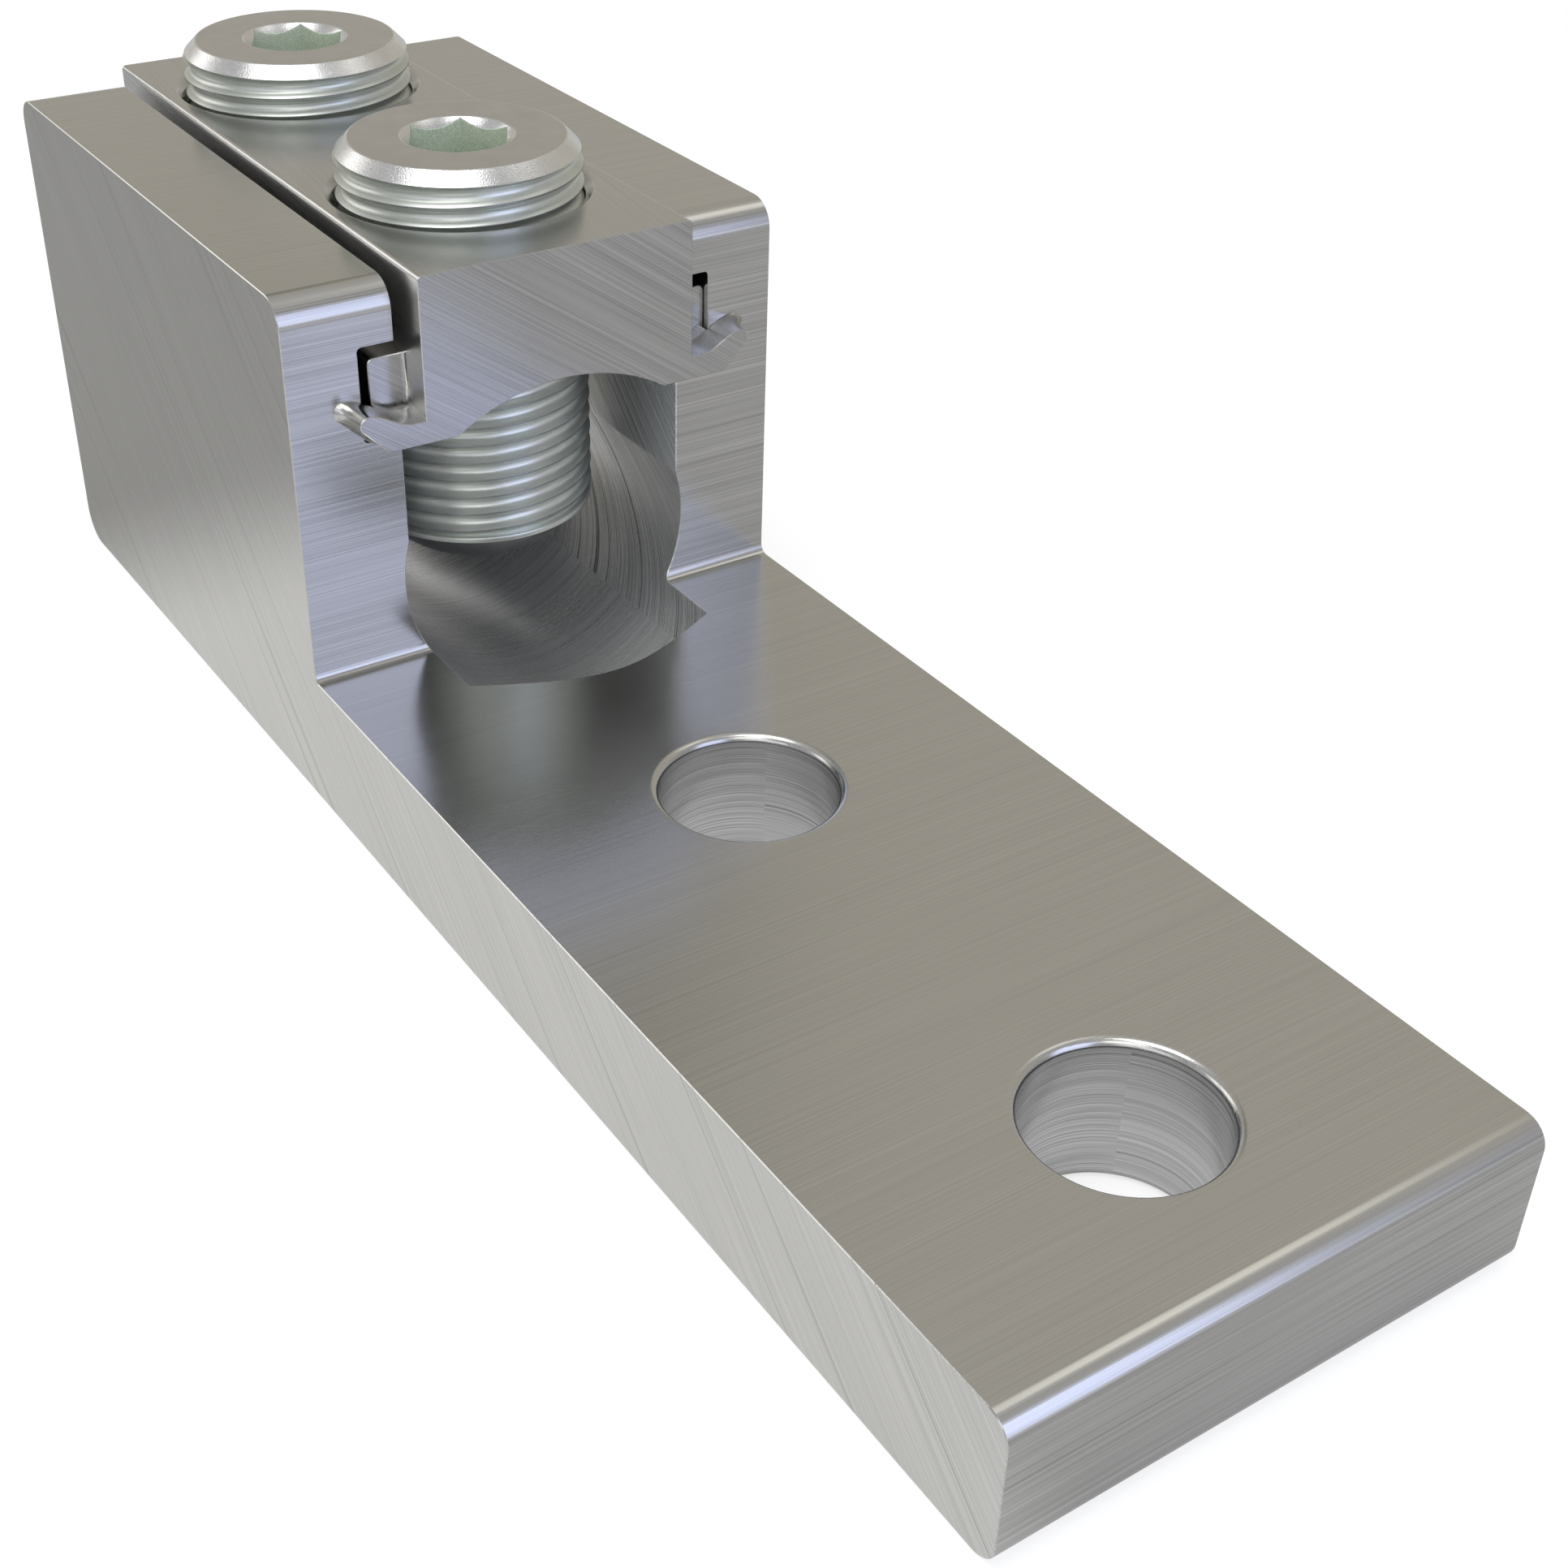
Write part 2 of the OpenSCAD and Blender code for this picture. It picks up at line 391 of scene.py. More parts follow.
Feed = Wire | float | Sequence[float]
Settings = dict[str, object]
Feeds = dict[str | int, Feed]


class Graph:
    """The node graph of one material or of the world."""

    def __init__(self, owner: bpy.types.Material | bpy.types.World) -> None:
        """Empty the owner's graph."""
        owner.use_nodes = True
        self.tree = owner.node_tree
        self.tree.nodes.clear()

    def node(self, kind: str, settings: Settings | None = None, feeds: Feeds | None = None) -> bpy.types.Node:
        """Add one node.

        Args:
            kind: The node's type, without the word ShaderNode.
            settings: What is set on the node itself before its sockets are used.
            feeds: The value or wire of each socket, by the socket's name or number.

        Returns:
            The new node.
        """
        made = self.tree.nodes.new("ShaderNode" + kind)
        for name, value in (settings or {}).items():
            setattr(made, name, value)
        for key, value in (feeds or {}).items():
            socket = made.inputs[key]
            if isinstance(value, Wire):
                self.tree.links.new(value.socket, socket)
            elif socket.type == "RGBA":
                socket.default_value = (*value, 1.0)
            else:
                socket.default_value = value
        return made

    def wire(self, kind: str, settings: Settings | None = None, feeds: Feeds | None = None,
             output: str | int = 0) -> Wire:
        """Add one node, as in the method node, and take one of its outputs."""
        return Wire(self, self.node(kind, settings, feeds).outputs[output])

    def split(self, vector: Wire) -> list[Wire]:
        """The three parts of a vector."""
        return [Wire(self, part) for part in self.node("SeparateXYZ", None, {0: vector}).outputs]

    def maths(self, operation: str, first: Wire | float, second: Wire | float = 0.0) -> Wire:
        """One sum on one or two values."""
        return self.wire("Math", {"operation": operation}, {0: first, 1: second})

    def clamp(self, value: Wire) -> Wire:
        """A value kept between nought and one."""
        return self.wire("Clamp", None, {"Value": value})

    def ramp(self, value: Wire, low: float, high: float) -> Wire:
        """A value that goes smoothly from nought at low to one at high."""
        feeds = {"Value": value, "From Min": low, "From Max": high}
        return self.wire("MapRange", {"interpolation_type": "SMOOTHSTEP"}, feeds)

    def mix(self, kind: Blend, share: Wire, first: Feed, second: Feed) -> Wire:
        """The first vector or colour where the share is nought, and the second where it is one."""
        feeds = {"Factor": share, "A": first, "B": second}
        return self.wire("Mix", {"data_type": kind.value}, feeds, "Result")

    def noise(self, vector: Wire, scale: float, detail: float, rough: float) -> Wire:
        """Soft noise round nought, from -0.5 to 0.5."""
        feeds = {"Vector": vector, "Scale": scale, "Detail": detail, "Roughness": rough}
        return self.wire("TexNoise", {"noise_dimensions": "3D"}, feeds) - 0.5


@dataclass(frozen=True, kw_only=True)
class PlatedMetal:
    """Plated aluminium; each kind of it says how the surface is worked.

    Attributes:
        name: The material's name.
        colour: The metal's own colour.
        roughness: The middle roughness.
        depth: The depth of the relief, in millimetres.
        contrast: How much the relief changes the colour.
        metallic: How much of the surface is bare metal.
        plain_shade: The shade at which the metal has its own colour, which leaves room for lighter places.
    """

    name: str
    colour: Colour
    roughness: float = 0.22
    depth: float = 0.008
    contrast: float = 0.42
    metallic: float = 1.0
    plain_shade: float = 0.8

    def _work(self, graph: Graph) -> tuple[Wire, Wire, Wire]:
        """Work the surface.

        Args:
            graph: The graph that gets the nodes.

        Returns:
            The shade, the roughness and the height of the surface.
        """
        raise NotImplementedError

    def material(self) -> bpy.types.Material:
        """Build the finish.

        Returns:
            The material.
        """
        made = bpy.data.materials.new(self.name)
        graph = Graph(made)
        shade, rough, height = self._work(graph)
        light = tuple(min(1.0, value / self.plain_shade) for value in self.colour)
        colour = graph.mix(Blend.COLOURS, shade, (0.0, 0.0, 0.0), light)
        bump = graph.wire("Bump", None, {"Strength": 1.0, "Distance": self.depth * MM, "Height": height})
        shader = graph.wire("BsdfPrincipled", None, {
            "Base Color": colour, "Metallic": self.metallic, "Roughness": rough, "Normal": bump})
        graph.node("OutputMaterial", None, {"Surface": shader})
        return made


@dataclass(frozen=True)
class Grain:
    """The direction of the brush lines on each family of faces, in degrees.

    Attributes:
        tops: Turn from +X towards +Y on faces that look up or down.
        ends: Turn from +Y towards +Z on faces that look along X.
        sides: Turn from +X towards +Z on faces that look along Y.
    """

    tops: float
    ends: float
    sides: float


@dataclass(frozen=True)
class Layer:
    """One layer of brush lines, or of the clouds over them.

    Attributes:
        along: Waves in a millimetre along the lines.
        across: Waves in a millimetre across the lines.
        detail: How much finer noise is in it.
        start: Where in the noise it starts, so that no two layers are alike.
        height: Its share of the relief.
        tone: Its share of the shade.
        rough: Its share of the roughness.
    """

    along: float
    across: float
    detail: float
    start: float
    height: float
    tone: float
    rough: float = 0.0


@dataclass(frozen=True, kw_only=True)
class BrushedMetal(PlatedMetal):
    """Plated aluminium with long fine brush lines that follow each flat face.

    Attributes:
        grain: The direction of the lines.
        painted_end_tone: How much of its brightness a face that looks along X keeps, a painted shade on faces
            that look along X.
        hair: The finest lines.
        fine: The lines that show most.
        broad: The soft bands between them.
        cloud: The slow changes over a face.
        score: The single deeper scores.
        score_from: The noise at which a score starts and is full.
        score_aside: How much of a score's depth belongs to faces that look along Y alone.
        shows: How strongly the lines show on faces that look along X, along Y, and on all of them.
        ahead: How far a face looks along X where that starts to count, and where it counts in full.
    """

    grain: Grain
    painted_end_tone: float = 0.76
    hair: Layer = Layer(0.035, 12.0, 1.0, 0.0, 0.40, 0.9)
    fine: Layer = Layer(0.022, 7.5, 1.0, 13.1, 0.45, 1.0, 0.08)
    broad: Layer = Layer(0.012, 1.8, 1.0, 7.3, 0.25, 0.14)
    cloud: Layer = Layer(0.05, 0.12, 2.0, 31.0, 0.0, 0.25, 0.05)
    score: Layer = Layer(0.010, 2.4, 0.0, 51.7, 0.40, 0.45)
    score_from: Point = (0.21, 0.26)
    score_aside: float = 0.8
    shows: Place = (0.95, 0.4, 0.38)
    ahead: Point = (0.6, 0.95)

    def _lines(self, graph: Graph) -> tuple[Wire, Wire, Wire]:
        """The brush lines' own coordinates.

        Args:
            graph: The graph that gets the nodes.

        Returns:
            A vector in millimetres whose X runs along the lines and whose Y runs across them, how far a
            face looks along X, and whether it looks along Y.
        """
        place = {"Vector": graph.wire("TexCoord", output="Object"), "Scale": 1 / MM}
        x, y, z = graph.split(graph.wire("VectorMath", {"operation": "SCALE"}, place))
        normal = graph.split(graph.wire("TexCoord", output="Normal"))
        nx, ny, nz = (graph.maths("ABSOLUTE", part) for part in normal)
        looks_up = nz > graph.maths("MAXIMUM", nx, ny)
        looks_aside = ny > graph.maths("MAXIMUM", nx, nz)

        def turned(first: Wire, second: Wire, degrees: float, start: float) -> Wire:
            """Two coordinates turned so that the first runs along the lines."""
            c, s = math.cos(math.radians(degrees)), math.sin(math.radians(degrees))
            feeds = {0: first * c + second * s, 1: second * c - first * s, 2: start}
            return graph.wire("CombineXYZ", None, feeds)

        top = turned(x, y, self.grain.tops, 3.0)
        end = turned(y, z, self.grain.ends, 17.0)
        side = turned(x, z, self.grain.sides, 41.0)
        lines = graph.mix(Blend.VECTORS, looks_aside, graph.mix(Blend.VECTORS, looks_up, end, top), side)
        return lines, graph.ramp(nx, *self.ahead), looks_aside

    def _work(self, graph: Graph) -> tuple[Wire, Wire, Wire]:
        """Brush the surface; the arguments and what it returns are as in PlatedMetal."""
        lines, looks_ahead, looks_aside = self._lines(graph)

        def waves(layer: Layer) -> Wire:
            """The noise of one layer, drawn out along the lines."""
            feeds = {0: lines, 1: (layer.along, layer.across, 1.0), 2: (layer.start,) * 3}
            return graph.noise(graph.wire("VectorMath", {"operation": "MULTIPLY_ADD"}, feeds), 1.0,
                               layer.detail, 0.6)

        layers = (self.hair, self.fine, self.broad, self.cloud)
        hair, fine, broad, cloud = (waves(layer) for layer in layers)
        deep = looks_aside * self.score_aside + (1 - self.score_aside)
        score = graph.ramp(waves(self.score), *self.score_from) * deep
        height = (hair * self.hair.height + fine * self.fine.height + broad * self.broad.height
                  - score * self.score.height)
        tone = (hair * self.hair.tone + fine * self.fine.tone + broad * self.broad.tone
                + cloud * self.cloud.tone - score * self.score.tone)
        strong = (looks_ahead * self.shows[0] + looks_aside * self.shows[1] + self.shows[2]) * self.contrast
        # Faces that look along X are darkened in colour: painted shade for how the light falls on them.
        painted_end_shade = 1 - looks_ahead * (1 - self.painted_end_tone)
        shade = graph.clamp(tone * strong + self.plain_shade) * painted_end_shade
        return shade, fine * self.fine.rough + cloud * self.cloud.rough + self.roughness, height


@dataclass(frozen=True, kw_only=True)
class GrainedMetal(PlatedMetal):
    """Plated metal with a fine even grain, as on a barrel-plated screw.

    Attributes:
        scale: Grains in a millimetre.
        patch_scale: Slow patches in a millimetre.
        patch_tone: How much the patches change the colour.
        rough: How much the grain and the patches change the roughness.
    """

    scale: float = 6.0
    patch_scale: float = 0.35
    patch_tone: float = 0.2
    rough: Point = (0.1, 0.08)

    def _work(self, graph: Graph) -> tuple[Wire, Wire, Wire]:
        """Grain the surface; the arguments and what it returns are as in PlatedMetal."""
        place = graph.wire("TexCoord", output="Object")
        grain = graph.noise(place, self.scale / MM, 2.0, 0.6)
        patch = graph.noise(place, self.patch_scale / MM, 2.0, 0.5)
        shade = graph.clamp(grain * self.contrast + patch * self.patch_tone + self.plain_shade)
        return shade, grain * self.rough[0] + patch * self.rough[1] + self.roughness, grain


@dataclass
class LugBody:
    """The lug itself: tongue and block in one, with the drilled and slotted channel. Sizes in millimetres."""

    finish: bpy.types.Material
    painted_light_channel_finish: bpy.types.Material
    painted_light_bore_finish: bpy.types.Material
    half_width: float = 22.5
    tongue_top: float = 12.6
    tongue_end: float = 38.025
    tongue_round: float = 2.0
    face: float = -54.225
    rear: float = -113.925
    top: float = 46.0
    top_round: float = 2.35
    heel_round: float = 3.0
    round_steps: int = 10
    root_fillet: float = 0.8
    fine_steps: int = 6
    hole_at: float = 22.225
    hole_radius: float = 7.145
    hole_rim: float = 0.7
    hole_sides: int = 112
    wire_radius: float = 13.6
    wire_height: float = 19.3
    wire_sides: int = 192
    drill_end: float = -47.025
    drill_angle: float = 118.0
    slot_half: float = 13.05
    groove_low: float = 33.0
    groove_high: float = 41.05
    groove_half: float = 16.25
    groove_round: float = 0.4
    groove_steps: int = 5
    edge: float = 0.07

    def _blank(self) -> bpy.types.Object:
        """Draw the tongue out of the block and round the long edges."""
        body = box("terminal_lug_body", (self.rear, -self.half_width, 0),
                   (self.face, self.half_width, self.top))
        with editing(body, Pick.FACES, whole=True):
            bpy.ops.mesh.bisect(plane_co=mm((0, 0, self.tongue_top)), plane_no=(0, 0, 1))
            bpy.ops.mesh.select_all(action="DESELECT")
            choose(body, Pick.FACES, lambda at, way: way.x > ALIGNED and at.z < self.tongue_top)
            push((self.tongue_end - self.face, 0, 0))
        clean_flats(body)
        rounds = [
            (self.face, self.top, self.top_round, self.round_steps),
            (self.rear, self.top, self.top_round, self.round_steps),
            (self.rear, 0, self.heel_round, self.round_steps),
            (self.tongue_end, self.tongue_top, self.tongue_round, self.round_steps),
            (self.tongue_end, 0, self.tongue_round, self.round_steps),
            (self.face, self.tongue_top, self.root_fillet, self.fine_steps)]
        for x, z, size, steps in rounds:
            round_edges(body, size, steps,
                        lambda at, way, x=x, z=z: abs(way.y) > ALIGNED and near(at.x, x) and near(at.z, z))
        return body

    def _drill_bolt_holes(self, body: bpy.types.Object) -> None:
        """Drill both holes of the tongue and round their rims."""
        for x in (-self.hole_at, self.hole_at):
            drill = rod("drill", (x, 0, -OVERLAP), (x, 0, self.tongue_top + OVERLAP), self.hole_radius,
                        self.hole_sides)
            combine(body, drill, Join.CUT)
        clean_flats(body)

        def on_rim(at: Vector, way: Vector) -> bool:
            """Whether an edge is part of a hole's rim."""
            level = near(at.z, 0) or near(at.z, self.tongue_top)
            return level and near(math.hypot(abs(at.x) - self.hole_at, at.y), self.hole_radius)

        round_edges(body, self.hole_rim, self.fine_steps, on_rim)

    def _cut_channel(self, body: bpy.types.Object) -> None:
        """Cut the slot, the side grooves and the drilled conductor hole with its cone end."""
        start, end = self.rear - OVERLAP, self.face + OVERLAP
        slot = box("slot", (start, -self.slot_half, self.wire_height),
                   (end, self.slot_half, self.top + OVERLAP))
        combine(body, slot, Join.CUT)
        drill = rod("drill", (start, 0, self.wire_height), (self.drill_end, 0, self.wire_height),
                    self.wire_radius, self.wire_sides)
        point = self.wire_radius / math.tan(math.radians(self.drill_angle / 2))
        with editing(drill, Pick.FACES):
            choose(drill, Pick.FACES, lambda at, way: way.x > ALIGNED)
            push((point, 0, 0))
            bpy.ops.mesh.merge(type="CENTER")
        combine(body, drill, Join.CUT)
        groove = box("groove", (start, -self.groove_half, self.groove_low),
                     (end, self.groove_half, self.groove_high))
        round_edges(groove, self.groove_round, self.groove_steps, lambda at, way: abs(way.x) > ALIGNED)
        combine(body, groove, Join.CUT)
        clean_flats(body)

    def _in_channel(self, at: Vector, way: Vector) -> bool:
        """Whether a face lines the drilled channel or its slot."""
        inside = abs(at.y) < self.wire_radius + SLACK and at.z > self.wire_height - self.wire_radius - SLACK
        on_tongue = near(at.z, self.tongue_top, 0.2) and way.z > LEVEL
        outer = abs(way.x) > ALIGNED or on_tongue or at.z > self.groove_low
        return inside and at.x < self.drill_end + self.wire_radius and not outer

    def _in_bolt_hole(self, at: Vector, way: Vector) -> bool:
        """Whether a face lines one of the bolt holes."""
        return abs(way.z) < SLIGHT and math.hypot(abs(at.x) - self.hole_at, at.y) < self.hole_radius + SLACK

    def build(self) -> bpy.types.Object:
        """Model, ease and dress the body.

        Returns:
            The finished piece.
        """
        body = self._blank()
        self._drill_bolt_holes(body)
        self._cut_channel(body)
        ease_edges(body, self.edge)
        smooth_faces(body)
        dress(body, self.finish)
        # The channel gets a lighter, partly diffuse copy of the plate: painted light for the light reaching
        # into it.
        dress(body, self.painted_light_channel_finish, self._in_channel)
        # The bolt holes get the bore's own grain and a lighter colour, which is painted light.
        dress(body, self.painted_light_bore_finish, self._in_bolt_hole)
        finish_piece(body, "lug_body", Body.LUG)
        return body


@dataclass
class ClampCap:
    """The cap that slides in the grooves, with its staked ends. Sizes in millimetres.

    The lip stations are shares of a lip's length, each with the share of its flare that is left there.
    """

    finish: bpy.types.Material
    painted_light_side_finish: bpy.types.Material
    painted_light_channel_finish: bpy.types.Material
    middle: float = 0.5
    half: float = 12.5
    front: float = -51.525
    rear: float = -115.275
    face: float = -54.225
    block_rear: float = -113.925
    low: float = 33.0
    top: float = 47.0
    top_round: float = 0.4
    top_steps: int = 6
    foot_reach: float = 3.2
    foot_top: float = 39.65
    foot_round: float = 0.5
    foot_fillet: float = 0.4
    foot_steps: int = 5
    saddle_radius: float = 18.0
    saddle_rise: float = 2.85
    saddle_sides: int = 224
    recess: float = 0.7
    recess_reach: float = 4.16
    recess_inset: float = 0.3
    recess_steps: int = 10
    valley: float = 2.0
    valley_flat: float = 0.2
    lip_reach: float = 5.65
    lip_crest: float = 3.45
    lip_edge: float = 0.75
    lip_lean: float = 45.0
    lip_flare: float = 1.15
    lip_swell: float = 0.45
    lip_steps: int = 14
    roll_steps: int = 12
    lip_stations: tuple[Point, ...] = (
        (0.0, 1.0), (0.12, 0.62), (0.3, 0.34), (0.55, 0.13), (0.8, 0.03), (1.0, 0.0))
    screws: Point = (-68.625, -101.825)
    screw_radius: float = 10.6
    screw_sides: int = 144
    lining_top: float = 46.3
    mouth_radius: float = 11.4
    mouth_margin: float = 0.3
    rim_edge: float = 0.12
    edge: float = 0.07

    def _core(self) -> bpy.types.Object:
        """The solid between the slot walls, with its long top edges rounded."""
        core = box("clamp_cap_piece", (self.rear, self.middle - self.half, self.low),
                   (self.front, self.middle + self.half, self.top))
        round_edges(core, self.top_round, self.top_steps,
                    lambda at, way: abs(way.x) > ALIGNED and near(at.z, self.top))
        return core

    def _valley_line(self, reach: float, steps: int) -> list[Point]:
        """Line of the staked valley: distance out from the cap's side, and height over its underside.

        Args:
            reach: How far out the line goes.
            steps: How many steps it has.

        Returns:
            The points of the line.
        """
        end = self.lip_reach - self.lip_edge
        line = []
        for i in range(steps + 1):
            out = reach * i / steps
            share = max(0.0, min(1.0, (out - self.valley_flat * end) / ((1 - self.valley_flat) * end)))
            rise = (self.lip_crest - self.valley) * (1 - math.cos(math.pi * share)) / 2
            line.append((out, self.valley + rise))
        return line

    def _feet(self) -> bpy.types.Object:
        """Both feet as one bar, pressed away at their four ends by the staking tool."""
        half = self.half + self.foot_reach
        feet = box("feet", (self.block_rear, self.middle - half, self.low),
                   (self.face, self.middle + half, self.foot_top))
        round_edges(feet, self.foot_round, self.foot_steps, lambda at, way: abs(way.x) > ALIGNED)
        over = self.foot_top - self.low + OVERLAP
        profile = self._valley_line(self.recess_reach, self.recess_steps)
        profile += [(self.recess_reach, over), (-self.recess_inset, over), (-self.recess_inset, self.valley)]
        for end, along in ((self.face, -1), (self.block_rear, 1)):
            for side in (-1, 1):
                tool = outline_sheet("staking tool", [
                    mm((end - along * OVERLAP, self.middle + side * (self.half + out), self.low + up))
                    for out, up in profile])
                with editing(tool, Pick.FACES, whole=True):
                    push((along * (OVERLAP + self.recess), 0, 0))
                face_outwards(tool)
                combine(feet, tool, Join.CUT)
        return feet

    def _lip_outline(self) -> list[Point]:
        """End view of one lip: distance out from the cap's side, and height over its underside."""
        out, up = self.lip_reach - self.lip_edge, self.lip_crest - self.lip_edge
        lean = math.radians(self.lip_lean)
        foot = out + self.lip_edge * math.cos(lean) - (up - self.lip_edge * math.sin(lean)) / math.tan(lean)
        points = [(-OVERLAP, 0.0), (-OVERLAP, self.valley)] + self._valley_line(out, self.lip_steps)
        for i in range(1, self.roll_steps + 1):
            angle = math.pi / 2 - (math.pi / 2 + lean) * i / self.roll_steps
            points.append((out + self.lip_edge * math.cos(angle), up + self.lip_edge * math.sin(angle)))
        points.append((foot, 0.0))
        return points

    def _lip(self, end: float, along: int, side: int, length: float) -> bpy.types.Object:
        """One rolled lip, drawn out from the block's face and flared where it lies against it.

        Args:
            end: Where the block's face is along X.
            along: The direction of the lip along X, 1 or -1.
            side: The side of the cap along Y, 1 or -1.
            length: How long the lip is.

        Returns:
            The closed shape.
        """
        anchor = mm((end, self.middle + side * self.half, self.low))
        corners = [anchor + mm((0, side * out, up)) for out, up in self._lip_outline()]
        lip = outline_sheet("lip", corners)

        def size(share: float) -> Point:
            """How wide and how high the lip is where it has a share of its flare."""
            return 1 + self.lip_flare / self.lip_reach * share, 1 + self.lip_swell / self.lip_crest * share

        with editing(lip, Pick.FACES, whole=True):
            bpy.ops.transform.resize(value=(1, *size(self.lip_stations[0][1])), center_override=anchor)
            for (start, before), (stop, after) in zip(self.lip_stations, self.lip_stations[1:]):
                push((along * length * (stop - start), 0, 0))
                change = [new / old for new, old in zip(size(after), size(before))]
                bpy.ops.transform.resize(value=(1, *change), center_override=anchor)
        face_outwards(lip)
        return lip

    def _hollow(self, cap: bpy.types.Object) -> None:
        """Cut the saddle underneath."""
        axis = self.low + self.saddle_rise - self.saddle_radius
        saddle = rod("saddle", (self.rear - OVERLAP, self.middle, axis),
                     (self.front + OVERLAP, self.middle, axis), self.saddle_radius, self.saddle_sides)
        combine(cap, saddle, Join.CUT)

    def _bore(self, cap: bpy.types.Object) -> None:
        """Cut both screw holes with their countersinks and eased rims."""
        sink = self.mouth_radius - self.screw_radius
        rim = self.rim_edge
        radii = (self.screw_radius, self.mouth_radius - rim, self.mouth_radius - 0.1 * rim,
                 self.mouth_radius + 0.9 * rim, self.mouth_radius + 0.9 * rim)
        rises = (sink - rim, 0.7 * rim, 0.3 * rim, OVERLAP)
        for x in self.screws:
            drill = rod("drill", (x, self.middle, self.low - OVERLAP), (x, self.middle, self.top - sink),
                        self.screw_radius, self.screw_sides)
            with editing(drill, Pick.FACES):
                choose(drill, Pick.FACES, lambda at, way: way.z > ALIGNED)
                draw_out(mm((x, self.middle, self.top)), list(zip(rises, radii, radii[1:])))
            combine(cap, drill, Join.CUT)

    def _off_holes(self, at: Vector, way: Vector) -> bool:
        """Whether an edge is clear of the screw holes, whose rims are eased as they are drilled."""
        clear = self.mouth_radius + self.mouth_margin
        return all(math.hypot(at.x - x, at.y - self.middle) > clear for x in self.screws)

    def _fillet_feet(self, cap: bpy.types.Object) -> None:
        """Fill the corners between the pressed ends of the feet and the sides of the core."""
        ends = (self.face - self.recess, self.block_rear + self.recess)
        round_edges(cap, self.foot_fillet, self.foot_steps,
                    lambda at, way: abs(way.z) > ALIGNED and near(abs(at.y - self.middle), self.half)
                    and any(near(at.x, end) for end in ends))

    def _on_side(self, at: Vector, way: Vector) -> bool:
        """Whether a face is on a long side of the core."""
        return abs(way.y) > ALIGNED and near(abs(at.y - self.middle), self.half)

    def _in_channel(self, at: Vector, way: Vector) -> bool:
        """Whether a face belongs to the saddle or to a screw hole."""
        saddle = way.z < -SLIGHT and at.z < self.foot_top and abs(at.y - self.middle) < self.half
        wide = self.screw_radius + SLACK
        holes = any(math.hypot(at.x - x, at.y - self.middle) < wide for x in self.screws)
        return saddle or (holes and at.z < self.lining_top)

    def build(self) -> bpy.types.Object:
        """Model, ease and dress the cap.

        Returns:
            The finished piece.
        """
        cap = self._core()
        combine(cap, self._feet(), Join.WELD)
        for end, along, length in ((self.face, 1, self.front - self.face),
                                   (self.block_rear, -1, self.block_rear - self.rear)):
            for side in (-1, 1):
                combine(cap, self._lip(end, along, side, length), Join.WELD)
        self._hollow(cap)
        clean_flats(cap)
        self._bore(cap)
        ease_edges(cap, self.edge, self._off_holes)
        self._fillet_feet(cap)
        smooth_faces(cap)
        dress(cap, self.finish)
        # The long sides of the core get a lighter copy of the cap's plate: painted light for the sheen along
        # them.
        dress(cap, self.painted_light_side_finish, self._on_side)
        # The saddle and the screw holes get the channel's lighter copy of the plate: painted light.
        dress(cap, self.painted_light_channel_finish, self._in_channel)
        finish_piece(cap, "clamp_cap", Body.LUG)
        return cap


